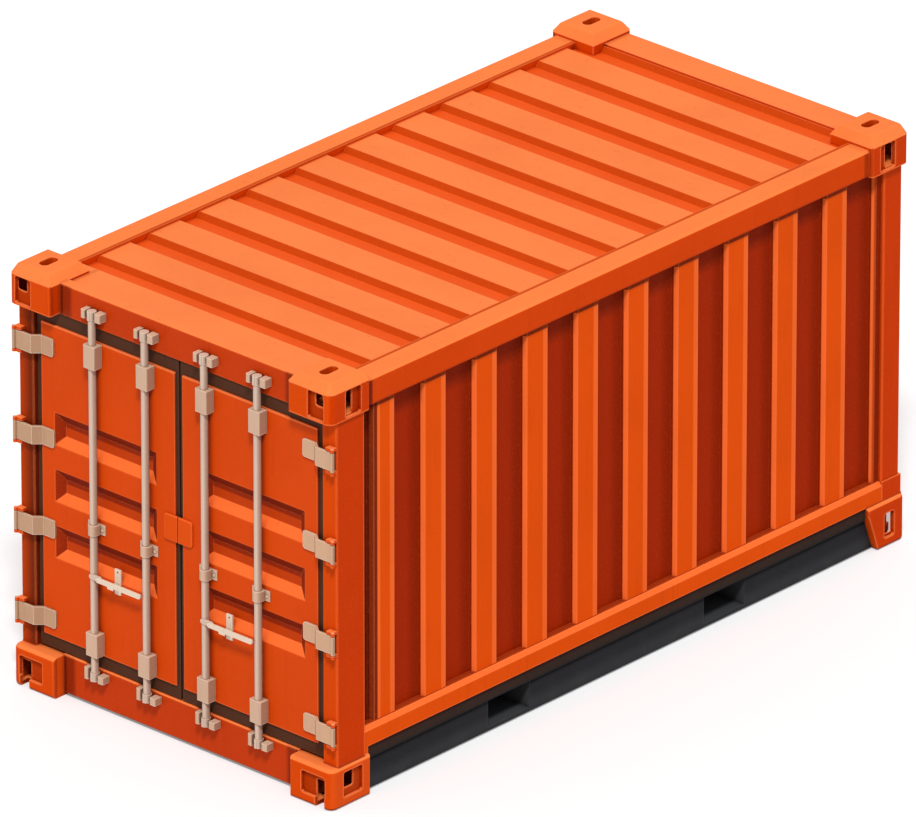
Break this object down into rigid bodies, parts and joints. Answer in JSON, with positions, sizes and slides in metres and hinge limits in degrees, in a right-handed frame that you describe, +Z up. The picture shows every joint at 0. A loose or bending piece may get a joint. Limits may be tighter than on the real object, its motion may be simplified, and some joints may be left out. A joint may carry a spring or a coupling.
{
  "type": "shipping container",
  "caption": "Short steel shipping container with corrugated walls and roof, hinged double cargo doors with lock bars, corner castings and forklift pockets.",
  "frame": {"origin": "centre of the footprint on the ground under the corner castings", "axes": "+Z up, +X across the width to the right when facing the doors from outside, the doors at -Y and the blind end at +Y"},
  "size_m": [2.438, 4.8, 2.591],
  "materials": {
    "orange_paint": "satin",
    "charcoal_paint": "matte",
    "cream_zinc": "satin",
    "seal_rubber": "matte",
    "floor_wood": "matte"
  },
  "bodies": {
    "container": {"corner_castings_top": "orange_paint", "corner_castings_bottom": "orange_paint", "right_door_post": "orange_paint", "left_door_post": "orange_paint", "right_blind_end_post": "orange_paint", "left_blind_end_post": "orange_paint", "right_top_side_rail": "orange_paint", "left_top_side_rail": "orange_paint", "right_bottom_side_rail": "orange_paint", "left_bottom_side_rail": "orange_paint", "right_side_wall": "orange_paint", "left_side_wall": "orange_paint", "door_header": "orange_paint", "front_header": "orange_paint", "door_sill": "orange_paint", "front_sill": "orange_paint", "underframe_beams": "charcoal_paint", "forklift_pockets": "charcoal_paint", "cross_members": "charcoal_paint", "floor_deck": "floor_wood", "end_wall": "orange_paint", "roof_panel": "orange_paint", "hinge_lugs": "orange_paint", "cam_keepers": "cream_zinc"},
    "left_door": {"left_door_panel": "orange_paint", "left_door_frame": "orange_paint", "left_door_gasket": "seal_rubber", "left_door_hinges": "cream_zinc", "left_bar_guides": "cream_zinc", "left_lock_plate": "orange_paint", "left_handle_catch": "cream_zinc"},
    "right_door": {"right_door_panel": "orange_paint", "right_door_frame": "orange_paint", "right_door_gasket": "seal_rubber", "right_door_hinges": "cream_zinc", "right_bar_guides": "cream_zinc", "right_lock_plate": "orange_paint", "right_handle_catch": "cream_zinc"},
    "left_outer_bar": {"left_outer_bar": "cream_zinc"},
    "left_inner_bar": {"left_inner_bar": "cream_zinc"},
    "right_inner_bar": {"right_inner_bar": "cream_zinc"},
    "right_outer_bar": {"right_outer_bar": "cream_zinc"},
    "left_handle": {"left_handle": "cream_zinc"},
    "right_handle": {"right_handle": "cream_zinc"}
  },
  "joints": [
    {"name": "left_door_swing", "type": "hinge", "parent": "container", "child": "left_door", "pos_m": [-1.205, -2.372, 1.3], "axis": [0, 0, -1], "range_deg": [0, 260]},
    {"name": "right_door_swing", "type": "hinge", "parent": "container", "child": "right_door", "pos_m": [1.205, -2.372, 1.3], "axis": [0, 0, 1], "range_deg": [0, 260]},
    {"name": "left_outer_bar_turn", "type": "hinge", "parent": "left_door", "child": "left_outer_bar", "pos_m": [-0.625, -2.352, 1.3], "axis": [0, 0, 1], "range_deg": [-95, 0]},
    {"name": "left_inner_bar_turn", "type": "hinge", "parent": "left_door", "child": "left_inner_bar", "pos_m": [-0.225, -2.352, 1.3], "axis": [0, 0, -1], "range_deg": [-95, 0]},
    {"name": "right_inner_bar_turn", "type": "hinge", "parent": "right_door", "child": "right_inner_bar", "pos_m": [0.225, -2.352, 1.3], "axis": [0, 0, 1], "range_deg": [-95, 0]},
    {"name": "right_outer_bar_turn", "type": "hinge", "parent": "right_door", "child": "right_outer_bar", "pos_m": [0.625, -2.352, 1.3], "axis": [0, 0, -1], "range_deg": [-95, 0]},
    {"name": "left_handle_lift", "type": "hinge", "parent": "left_outer_bar", "child": "left_handle", "pos_m": [-0.563, -2.386, 0.845], "axis": [0, -1, 0], "range_deg": [0, 35]},
    {"name": "right_handle_lift", "type": "hinge", "parent": "right_inner_bar", "child": "right_handle", "pos_m": [0.287, -2.386, 0.845], "axis": [0, -1, 0], "range_deg": [0, 35]}
  ]
}
